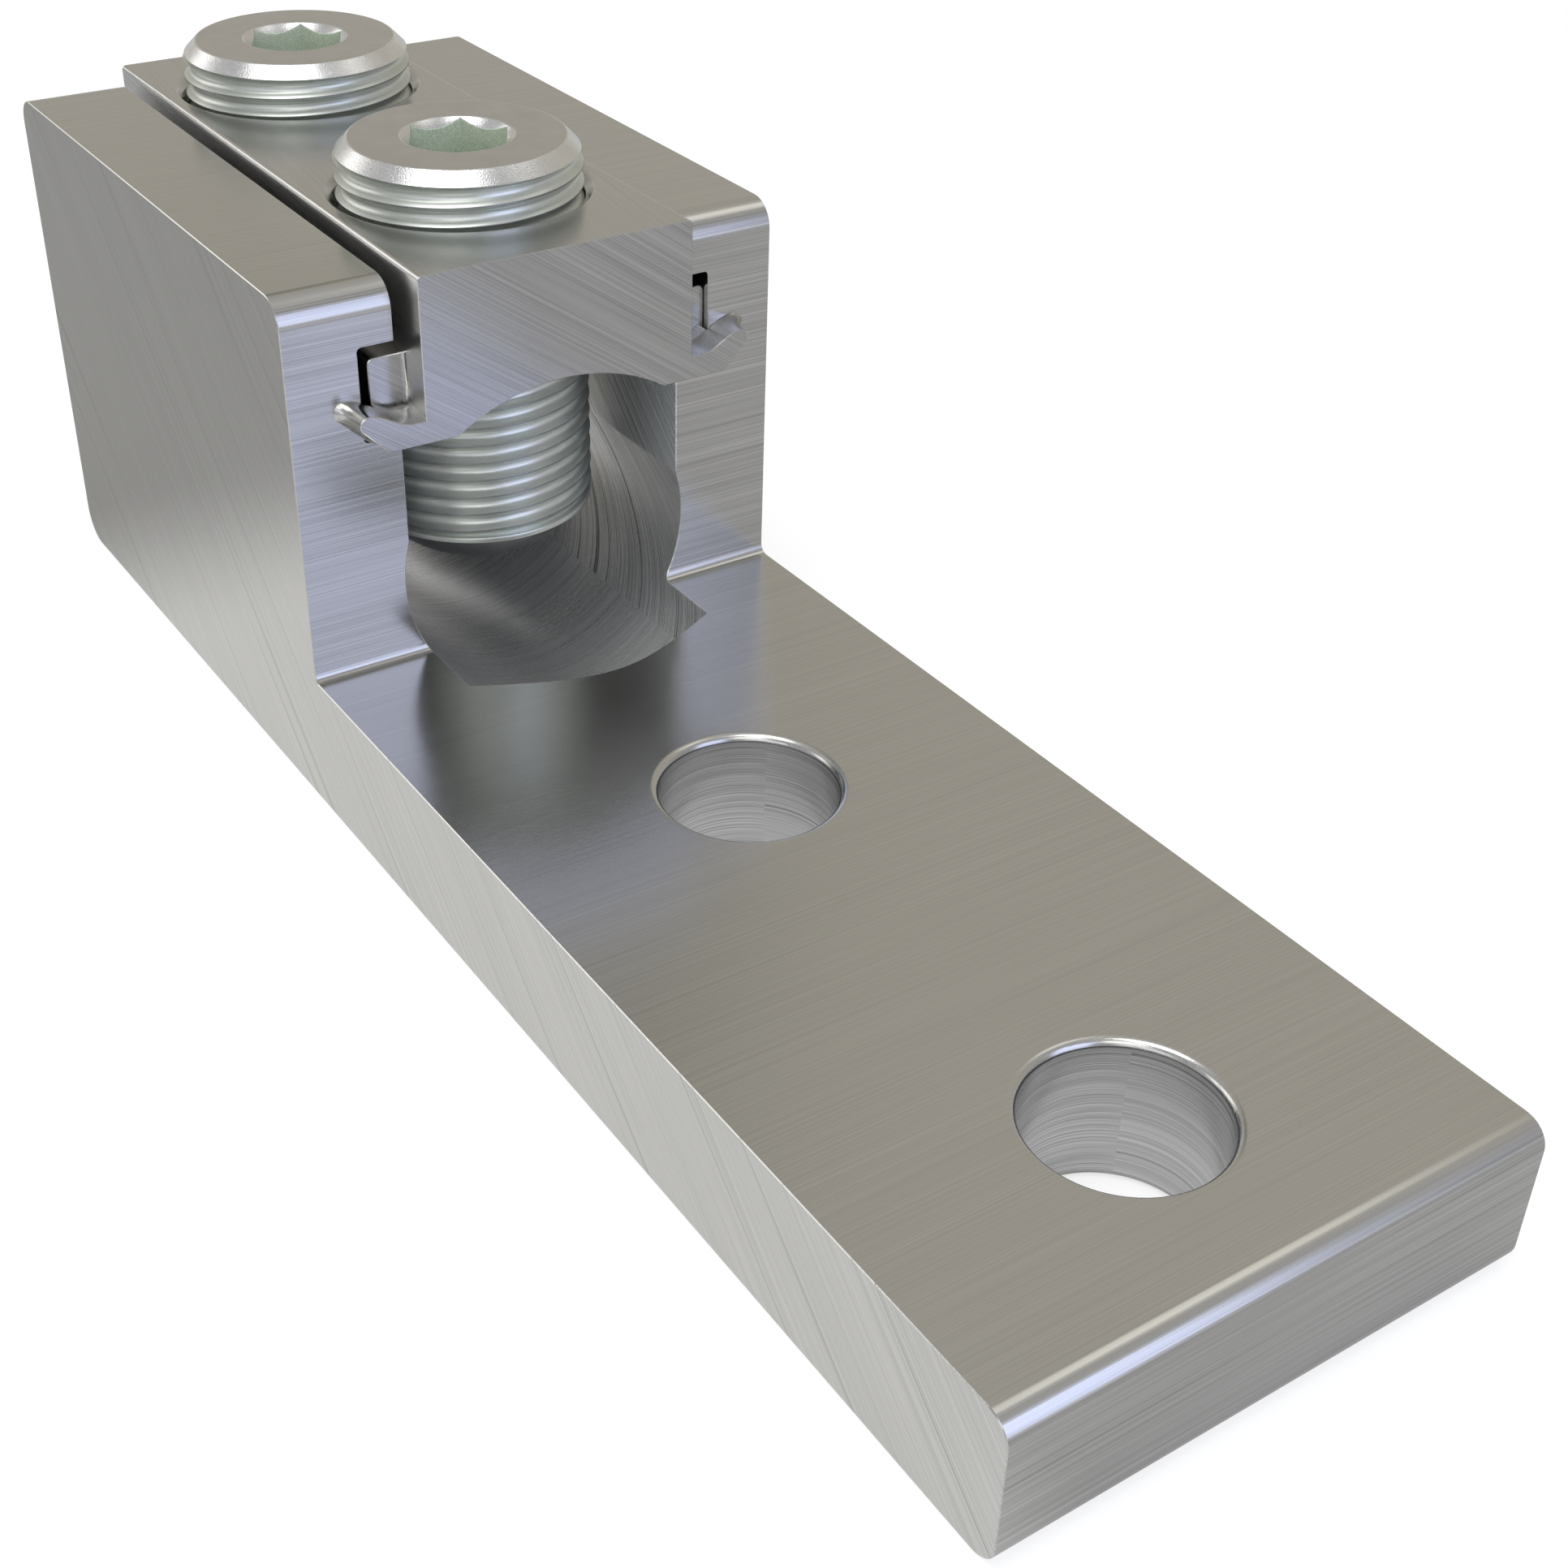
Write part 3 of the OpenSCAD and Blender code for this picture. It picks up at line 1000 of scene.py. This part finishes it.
@dataclass
class SetScrews:
    """The two set screws, modelled once with a true helical thread and copied. Sizes in millimetres.

    The crest's round is given in half widths of the crest: how far along, and how far in. The mouth band
    and the socket band are the depths under the top between which those places lie.
    """

    thread_finish: bpy.types.Material
    painted_shade_crest_finish: bpy.types.Material
    painted_highlight_chamfer_finish: bpy.types.Material
    turned_finish: bpy.types.Material
    painted_light_socket_finish: bpy.types.Material
    painted_shade_tip_finish: bpy.types.Material
    middle: float = 0.5
    places: Point = (-68.625, -101.825)
    top: float = 51.35
    tip: float = 13.25
    radius: float = 10.5
    clearance: float = 0.02
    sides: int = 160
    pitch: float = 1.61
    flank_angle: float = 60.0
    crest_half: float = 0.05
    crest_round: tuple[Point, ...] = ((0.8, 0.16), (1.3, 0.55))
    root_radius: float = 0.6
    root_steps: int = 5
    crest_height: float = 24.58
    steps: int = 80
    smooth_angle: float = 40.0
    collar_top: float = 18.85
    collar_low: float = 18.3
    collar_radius: float = 10.38
    collar_edge: float = 0.14
    collar_steps: int = 4
    collar_sides: int = 128
    thread_low: float = 18.5
    flat_radius: float = 9.2
    head_radius: float = 10.3
    head_low: float = 50.25
    run_out: float = 0.5
    neck_radius: float = 9.6
    undercut: float = 0.3
    rim_edge: float = 0.1
    rim_steps: int = 3
    dome_radius: float = 12.5
    dome_overlap: float = 0.4
    hex_radius: float = 4.677
    hex_depth: float = 9.0
    hex_mouth: float = 4.8
    hex_edge: float = 0.06
    hex_steps: int = 2
    mouth_band: Point = (1.3, 0.11)
    socket_band: Point = (12.0, 0.3)
    sink_radius: float = 3.9
    pilot_radius: float = 4.0
    pilot_depth: float = 2.0
    pilot_sides: int = 48

    def _root(self) -> float:
        """Radius at the bottom of the thread, from the width left to its flanks and its rounded root."""
        lean = math.radians(self.flank_angle)
        flank_height = self.pitch / 2 - self.crest_half - self.root_radius * math.sin(lean)
        return self.radius - flank_height * math.tan(lean) - self.root_radius * (1 - math.cos(lean))

    def _half_profile(self) -> list[Point]:
        """From the crest to the root over half a pitch: height from the crest, and radius."""
        points = [(0.0, self.radius)]
        for along, inwards in self.crest_round:
            points.append((self.crest_half * along, self.radius - self.crest_half * inwards))
        for i in range(self.root_steps, -1, -1):
            angle = math.radians(self.flank_angle * i / self.root_steps)
            points.append((self.pitch / 2 - self.root_radius * math.sin(angle),
                           self._root() + self.root_radius * (1 - math.cos(angle))))
        return points

    def _threaded_bar(self) -> bpy.types.Object:
        """A bar with a right-hand thread, longer than the screw at both ends."""
        half = self._half_profile()
        outline = [(-up, out) for up, out in reversed(half)] + half[1:]
        turns_down = math.ceil((self.crest_height - self.collar_low) / self.pitch) + 1
        start = self.crest_height - turns_down * self.pitch
        bar = outline_sheet("threaded_bar", [mm((out, 0, start + up)) for up, out in outline])
        with editing(bar, Pick.FACES, whole=True):
            bpy.ops.mesh.delete(type="ONLY_FACE")
        with editing(bar, Pick.EDGES):
            choose(bar, Pick.EDGES, lambda at, way: near(at.x, self._root()) and near(at.z, start))
            bpy.ops.mesh.delete(type="EDGE_FACE")
        lift(bar)
        step = bar.modifiers.new("thread", "SCREW")
        step.axis = "Z"
        step.angle = math.tau
        step.screw_offset = self.pitch * MM
        step.iterations = math.ceil((self.top - start) / self.pitch) + 2
        step.steps = self.steps
        step.render_steps = self.steps
        bpy.ops.object.modifier_apply(modifier=step.name)
        with editing(bar, Pick.EDGES, whole=True):
            bpy.ops.mesh.remove_doubles(threshold=DOUBLE * MM)
            bpy.ops.mesh.select_all(action="DESELECT")
            bpy.ops.mesh.select_non_manifold(extend=False, use_wire=False, use_multi_face=False,
                                             use_non_contiguous=False, use_verts=False)
            push((0, 0, 0))
            bpy.ops.mesh.merge(type="COLLAPSE")
        face_outwards(bar)
        return bar

    def _turned_blank(self) -> bpy.types.Object:
        """What the thread is trimmed to: a plain bar that narrows under the head."""
        wide = self.radius + self.clearance
        neck = self.head_low - self.run_out
        blank = rod("blank", (0, 0, self.thread_low), (0, 0, neck), wide, self.sides)
        with editing(blank, Pick.FACES):
            choose(blank, Pick.FACES, lambda at, way: way.z > ALIGNED)
            draw_out(mm((0, 0, neck)), ((self.run_out * 0.9, wide, self.neck_radius - self.undercut),))
        return blank

    def _head(self) -> bpy.types.Object:
        """The plain driven end over the last groove: chamfered outside and countersunk inside."""
        neck = self.head_low - self.run_out
        head = rod("head", (0, 0, neck - self.run_out), (0, 0, neck), self.neck_radius, self.sides)
        with editing(head, Pick.FACES):
            choose(head, Pick.FACES, lambda at, way: way.z > ALIGNED)
            draw_out(mm((0, 0, self.top)), (
                (self.run_out, self.neck_radius, self.head_radius),
                (self.top - self.head_low, self.head_radius, self.flat_radius),
                (0.0, self.flat_radius, self.hex_mouth),
                (self.sink_radius - self.hex_mouth, self.hex_mouth, self.sink_radius)))

        def on_rims(at: Vector, way: Vector) -> bool:
            """Whether an edge is on the rim of the flat top or of the socket's mouth."""
            out = math.hypot(at.x, at.y)
            rim = near(out, self.flat_radius) or near(out, self.hex_mouth)
            return rim and near(at.z, self.top) and abs(way.z) < ACROSS

        round_edges(head, self.rim_edge, self.rim_steps, on_rims)
        return head

    def _tip(self) -> bpy.types.Object:
        """The domed tip with the plain collar where the thread ends."""
        centre = mm((0, 0, self.tip + self.dome_radius))
        bpy.ops.mesh.primitive_uv_sphere_add(segments=self.collar_sides, ring_count=self.sides,
                                             radius=self.dome_radius * MM, location=centre)
        dome = settle("dome")
        with editing(dome, Pick.FACES, whole=True):
            bpy.ops.mesh.bisect(plane_co=mm((0, 0, self.collar_low + self.dome_overlap)), plane_no=(0, 0, 1),
                                use_fill=True, clear_outer=True)
        collar = rod("collar", (0, 0, self.collar_low), (0, 0, self.collar_top), self.collar_radius,
                     self.collar_sides)
        round_edges(collar, self.collar_edge, self.collar_steps, lambda at, way: abs(way.z) < ACROSS)
        combine(dome, collar, Join.WELD)
        return dome

    def _broach(self, screw: bpy.types.Object) -> None:
        """Cut the hex socket and the cone of its pilot drill, and ease the socket's upper edge."""
        floor = self.top - self.hex_depth
        combine(screw, rod("hex", (0, 0, floor), (0, 0, self.top + OVERLAP), self.hex_radius, 6), Join.CUT)
        combine(screw, rod("pilot", (0, 0, floor - self.pilot_depth), (0, 0, floor + self.clearance), 0,
                           self.pilot_sides, self.pilot_radius), Join.CUT)
        flat = self.hex_radius * math.cos(math.pi / 6)
        low, high = (self.top - depth for depth in self.mouth_band)

        def on_mouth(at: Vector, way: Vector) -> bool:
            """Whether an edge is where a wall of the socket meets the countersink."""
            turn = (math.atan2(at.y, at.x) + math.pi / 6) % (math.pi / 3) - math.pi / 6
            wall = math.hypot(at.x, at.y) * math.cos(turn)
            return near(wall, flat, 0.01) and abs(way.z) < ALIGNED and low < at.z < high

        round_edges(screw, self.hex_edge, self.hex_steps, on_mouth)

    def _on_crest(self, at: Vector, way: Vector) -> bool:
        """Whether a face is on the narrow crest of the thread."""
        along = self.collar_top < at.z < self.head_low - self.run_out
        return along and math.hypot(at.x, at.y) > self.radius - self.crest_half * self.crest_round[0][0]

    def _on_tip(self, at: Vector, way: Vector) -> bool:
        """Whether a face belongs to the domed tip."""
        return at.z < self.collar_low and way.z < -SLIGHT

    def _on_chamfer(self, at: Vector, way: Vector) -> bool:
        """Whether a face belongs to the chamfer, the countersink or their eased rims."""
        return at.z > self.head_low - self.clearance and SLOPING < way.z < LEVEL

    def _in_socket(self, at: Vector, way: Vector) -> bool:
        """Whether a face lines the hex socket."""
        low, high = (self.top - depth for depth in self.socket_band)
        inside = math.hypot(at.x, at.y) < self.hex_radius + SLACK and low < at.z < high
        return inside and abs(way.z) < SLOPING

    def build(self) -> list[bpy.types.Object]:
        """Model one screw, dress it and copy it.

        Returns:
            The front screw and the rear screw.
        """
        screw = self._threaded_bar()
        combine(screw, self._turned_blank(), Join.TRIM)
        combine(screw, self._head(), Join.WELD)
        combine(screw, self._tip(), Join.WELD)
        self._broach(screw)
        smooth_faces(screw, self.smooth_angle)
        dress(screw, self.thread_finish)
        # The crests get a dark copy of the plate: a painted shade line along each crest.
        dress(screw, self.painted_shade_crest_finish, self._on_crest)
        # The chamfers get a lighter, smoother copy of the plate: the lighter colour is a painted highlight,
        # the lower roughness and deeper grain are their own.
        dress(screw, self.painted_highlight_chamfer_finish, self._on_chamfer)
        dress(screw, self.turned_finish, lambda at, way: near(at.z, self.top) and way.z > LEVEL)
        # The sockets get a pale greenish, mostly diffuse copy of the plate: painted light inside the socket.
        dress(screw, self.painted_light_socket_finish, self._in_socket)
        # The downward-facing tips get a darker, rougher copy of the plate: the darker colour is painted shade
        # under the screw.
        dress(screw, self.painted_shade_tip_finish, self._on_tip)
        made = []
        for name, node, body, x in (
                ("front_screw_piece", "front_set_screw", Body.FRONT_SCREW, self.places[0]),
                ("rear_screw_piece", "rear_set_screw", Body.REAR_SCREW, self.places[1])):
            copy = screw.copy()
            copy.data = screw.data.copy()
            bpy.context.scene.collection.objects.link(copy)
            lift(copy)
            bpy.ops.transform.translate(value=mm((x, self.middle, 0)))
            copy = settle(name)
            finish_piece(copy, node, body)
            made.append(copy)
        bpy.data.objects.remove(screw)
        return made


@dataclass(frozen=True)
class SoftBox:
    """One soft lamp, placed by direction from the lug.

    Attributes:
        name: The lamp's name.
        azimuth: Turn from +X towards +Y, in degrees.
        height: Angle over the floor, in degrees.
        distance: Metres from the lug.
        size: Width and height in metres.
        glow: Radiance of its face.
        colour: Its tint.
    """

    name: str
    azimuth: float
    height: float
    distance: float
    size: Point
    glow: float
    colour: Colour = (1.0, 1.0, 1.0)

    def build(self, target: Vector) -> bpy.types.Object:
        """Hang the lamp so that it faces the target.

        Args:
            target: The point that it looks at, in metres.

        Returns:
            The lamp.
        """
        turn, up = math.radians(self.azimuth), math.radians(self.height)
        away = Vector((math.cos(up) * math.cos(turn), math.cos(up) * math.sin(turn), math.sin(up)))
        data = bpy.data.lights.new(self.name, "AREA")
        data.shape = "RECTANGLE"
        data.size, data.size_y = self.size
        data.energy = self.glow * math.pi * self.size[0] * self.size[1]
        data.color = self.colour
        lamp = bpy.data.objects.new(self.name, data)
        bpy.context.scene.collection.objects.link(lamp)
        lamp.matrix_world = Matrix.Translation(target + away * self.distance) @ (
            away.to_track_quat("Z", "Y").to_matrix().to_4x4())
        return lamp


@dataclass(frozen=True)
class RoomTone:
    """One tone of the soft room, which comes in towards a direction.

    Attributes:
        towards: The direction in which it is full.
        start: How far that way a look has to go for the tone to begin, as a cosine.
        full: How far it has to go for the tone to be full.
        colour: The tone.
    """

    towards: Place
    start: float
    full: float
    colour: Colour


@dataclass
class Studio:
    """The floor, the world, the lamps and the camera.

    The room's tones lie over each other: a warm wall behind the lug, the ceiling, a dim corner that the
    threads and discs mirror, and a pale horizon. What metal mirrors of the floor is a painted reflection,
    dimmer than what the camera sees, on the left more so, apart from a painted pool of light there.
    The edges are given in metres.
    """

    target: Vector = field(default_factory=lambda: mm((-38.0, 0.0, 18.0)))
    lamps: tuple[SoftBox, ...] = (
        SoftBox("overhead box", -70.0, 75.0, 0.7, (0.42, 0.36), 3.2),
        SoftBox("high right box", 88.0, 59.0, 0.7, (0.24, 0.20), 0.7, (1.0, 0.97, 0.9)),
        SoftBox("left box", -141.5, 22.0, 0.8, (0.63, 0.30), 1.15),
        SoftBox("front box", 15.5, 20.0, 0.8, (0.49, 0.55), 1.25, (0.82, 0.92, 1.38)),
        SoftBox("near box", -32.0, 42.0, 0.8, (0.46, 0.30), 1.5),
        SoftBox("low left box", -52.0, 19.0, 0.8, (0.75, 0.26), 0.8, (0.94, 0.98, 1.08)),
    )
    walls: Colour = (0.46, 0.465, 0.47)
    tones: tuple[RoomTone, ...] = (
        RoomTone((-0.77, 0.64, 0.0), -0.2, 0.7, (0.49, 0.465, 0.415)),
        RoomTone((0.0, 0.0, 1.0), 0.70, 0.98, (0.50, 0.50, 0.49)),
        RoomTone((-0.751, 0.273, 0.602), 0.972, 0.994, (0.27, 0.265, 0.225)),
        RoomTone((0.0, 0.0, 1.0), 0.12, -0.02, (0.9, 0.9, 0.89)),
    )
    floor_size: float = 8.0
    floor_gap: float = 0.05
    floor_lit: Colour = (0.85, 0.85, 0.85)
    floor_seen: Colour = (0.45, 0.45, 0.45)
    floor_glow: float = 0.68
    painted_mirror_shade: float = 0.45
    painted_left_shade: float = 0.22
    painted_pool_light: float = 0.40
    left_edge: Point = (-0.012, -0.024)
    pool_rear: Point = (-0.122, -0.086)
    pool_front: Point = (0.11, 0.05)
    camera_place: Place = (95.3434, -79.9284, 109.4134)
    camera_yaw: float = 145.5908
    camera_pitch: float = -34.0959
    camera_roll: float = 1.5141
    focal: float = 2690.9949
    centre: Point = (931.1155, 960.547)
    image: float = 1932.0
    sensor: float = 36.0
    reach: Point = (0.01, 20.0)

    def _camera(self) -> None:
        """Stand the camera at the view of the picture; focal length and centre are in its pixels."""
        yaw, pitch, roll = (math.radians(v) for v in (self.camera_yaw, self.camera_pitch, self.camera_roll))
        ahead = Vector((math.cos(pitch) * math.cos(yaw), math.cos(pitch) * math.sin(yaw), math.sin(pitch)))
        level = ahead.cross(Vector((0, 0, 1))).normalized()
        upright = level.cross(ahead)
        right = level * math.cos(roll) + upright * math.sin(roll)
        up = upright * math.cos(roll) - level * math.sin(roll)
        data = bpy.data.cameras.new("view")
        data.sensor_fit = "HORIZONTAL"
        data.sensor_width = self.sensor
        data.lens = self.focal / self.image * self.sensor
        data.shift_x = (self.image / 2 - self.centre[0]) / self.image
        data.shift_y = (self.centre[1] - self.image / 2) / self.image
        data.clip_start, data.clip_end = self.reach
        camera = bpy.data.objects.new("view", data)
        bpy.context.scene.collection.objects.link(camera)
        turn = Matrix((right, up, -ahead)).transposed().to_4x4()
        camera.matrix_world = Matrix.Translation(mm(self.camera_place)) @ turn
        bpy.context.scene.camera = camera

    def _world(self) -> None:
        """A soft grey room with its tones."""
        world = bpy.data.worlds.new("soft room")
        bpy.context.scene.world = world
        graph = Graph(world)
        way = graph.wire("TexCoord", output="Generated")
        colour: Feed = self.walls
        for tone in self.tones:
            looks = {0: way, 1: tone.towards}
            far = graph.wire("VectorMath", {"operation": "DOT_PRODUCT"}, looks, "Value")
            share = graph.ramp(far, tone.start, tone.full)
            colour = graph.mix(Blend.COLOURS, share, colour, tone.colour)
        background = graph.wire("Background", None, {"Color": colour, "Strength": 1.0})
        graph.node("OutputWorld", None, {"Surface": background})

    def _floor(self) -> None:
        """A plain pale floor that keeps the lug's soft shadow, with a painted reflection for metal: dimmer,
        darker on the left, and a painted pool of light there.
        """
        bpy.ops.mesh.primitive_plane_add(size=self.floor_size, location=mm((0, 0, -self.floor_gap)))
        floor = settle("floor")
        made = bpy.data.materials.new("pale floor")
        graph = Graph(made)
        mirrored = graph.wire("LightPath", output="Is Glossy Ray")
        seen = graph.clamp(mirrored + graph.wire("LightPath", output="Is Camera Ray")
                           + graph.wire("LightPath", output="Is Transmission Ray"))
        x, y, _ = graph.split(graph.wire("TexCoord", output="Object"))
        # What metal mirrors of the floor is painted: dimmer overall, darker on the left, with a painted pool
        # of light by the lug's left side.
        left = graph.ramp(y, *self.left_edge)
        pool = left * graph.ramp(x, *self.pool_rear) * graph.ramp(x, *self.pool_front)
        dimmer = left * self.painted_left_shade - pool * self.painted_pool_light + self.painted_mirror_shade
        glow = graph.wire("Emission", None, {"Color": self.floor_glow - mirrored * dimmer, "Strength": 1.0})
        lit = graph.wire("BsdfDiffuse", None, {"Color": self.floor_lit})
        soft = graph.wire("BsdfDiffuse", None, {"Color": self.floor_seen})
        shown = graph.wire("AddShader", None, {0: soft, 1: glow})
        mixed = graph.wire("MixShader", None, {0: seen, 1: lit, 2: shown})
        graph.node("OutputMaterial", None, {"Surface": mixed})
        floor.data.materials.append(made)

    def build(self) -> None:
        """Set up the whole studio."""
        self._floor()
        self._world()
        for lamp in self.lamps:
            lamp.build(self.target)
        self._camera()
        bpy.context.scene.view_settings.view_transform = "Standard"


def main() -> None:
    """Build the finishes, the pieces and the studio, in that order."""
    logging.basicConfig(level=logging.INFO, format="%(name)s: %(message)s")
    block_grain = Grain(90.0, 0.0, -43.0)
    body, cap, painted_light_cap_sides, channel, bolt_holes = (finish.material() for finish in (
        BrushedMetal(name="brushed tin plate, body", colour=(0.60, 0.594, 0.57), grain=block_grain),
        BrushedMetal(name="brushed tin plate, cap", colour=(0.60, 0.596, 0.582), roughness=0.21,
                     grain=Grain(-6.0, -35.0, -6.0), painted_end_tone=0.68),
        # A lighter copy of the cap's plate for its long sides: painted light.
        BrushedMetal(name="brushed tin plate, cap sides painted lighter", colour=(0.78, 0.78, 0.78), roughness=0.30,
                     grain=Grain(0.0, 0.0, -6.0)),
        # A lighter copy of the plate for the channel: painted light in a shaded recess.
        BrushedMetal(name="brushed tin plate, channel painted lighter", colour=(0.90, 0.94, 0.88), roughness=0.28,
                     contrast=1.3, metallic=0.8, grain=block_grain, painted_end_tone=1.0),
        BrushedMetal(name="bored tin plate, bolt holes painted lighter", colour=(0.70, 0.70, 0.70), roughness=0.24,
                     contrast=0.8, grain=Grain(90.0, 0.0, 0.0), painted_end_tone=1.0)))
    screw_finishes = [finish.material() for finish in (
        GrainedMetal(name="grained plate, threads", colour=(0.62, 0.645, 0.605), roughness=0.34,
                     contrast=0.12, metallic=0.9, scale=9.0),
        # A dark copy of the plate for the thread's crests: painted shade.
        GrainedMetal(name="dark plate, thread crests painted as shade", colour=(0.26, 0.27, 0.27), roughness=0.3,
                     depth=0.01, contrast=0.4, scale=9.0),
        GrainedMetal(name="bright plate, chamfers with painted highlight", colour=(0.85, 0.85, 0.835), roughness=0.2,
                     depth=0.02, contrast=0.3, scale=8.0),
        GrainedMetal(name="fine turned plate, screw faces", colour=(0.60, 0.59, 0.58), roughness=0.2,
                     depth=0.004, contrast=0.12),
        GrainedMetal(name="broached plate, sockets painted lighter", colour=(0.56, 0.63, 0.50), roughness=0.4,
                     depth=0.02, contrast=0.9, metallic=0.2, scale=7.0),
        GrainedMetal(name="dull plate, tips painted dark", colour=(0.30, 0.31, 0.30), roughness=0.42,
                     depth=0.015, contrast=0.4))]
    LugBody(body, channel, bolt_holes).build()
    ClampCap(cap, painted_light_cap_sides, channel).build()
    SetScrews(*screw_finishes).build()
    Studio().build()


if __name__ == "__main__":
    main()
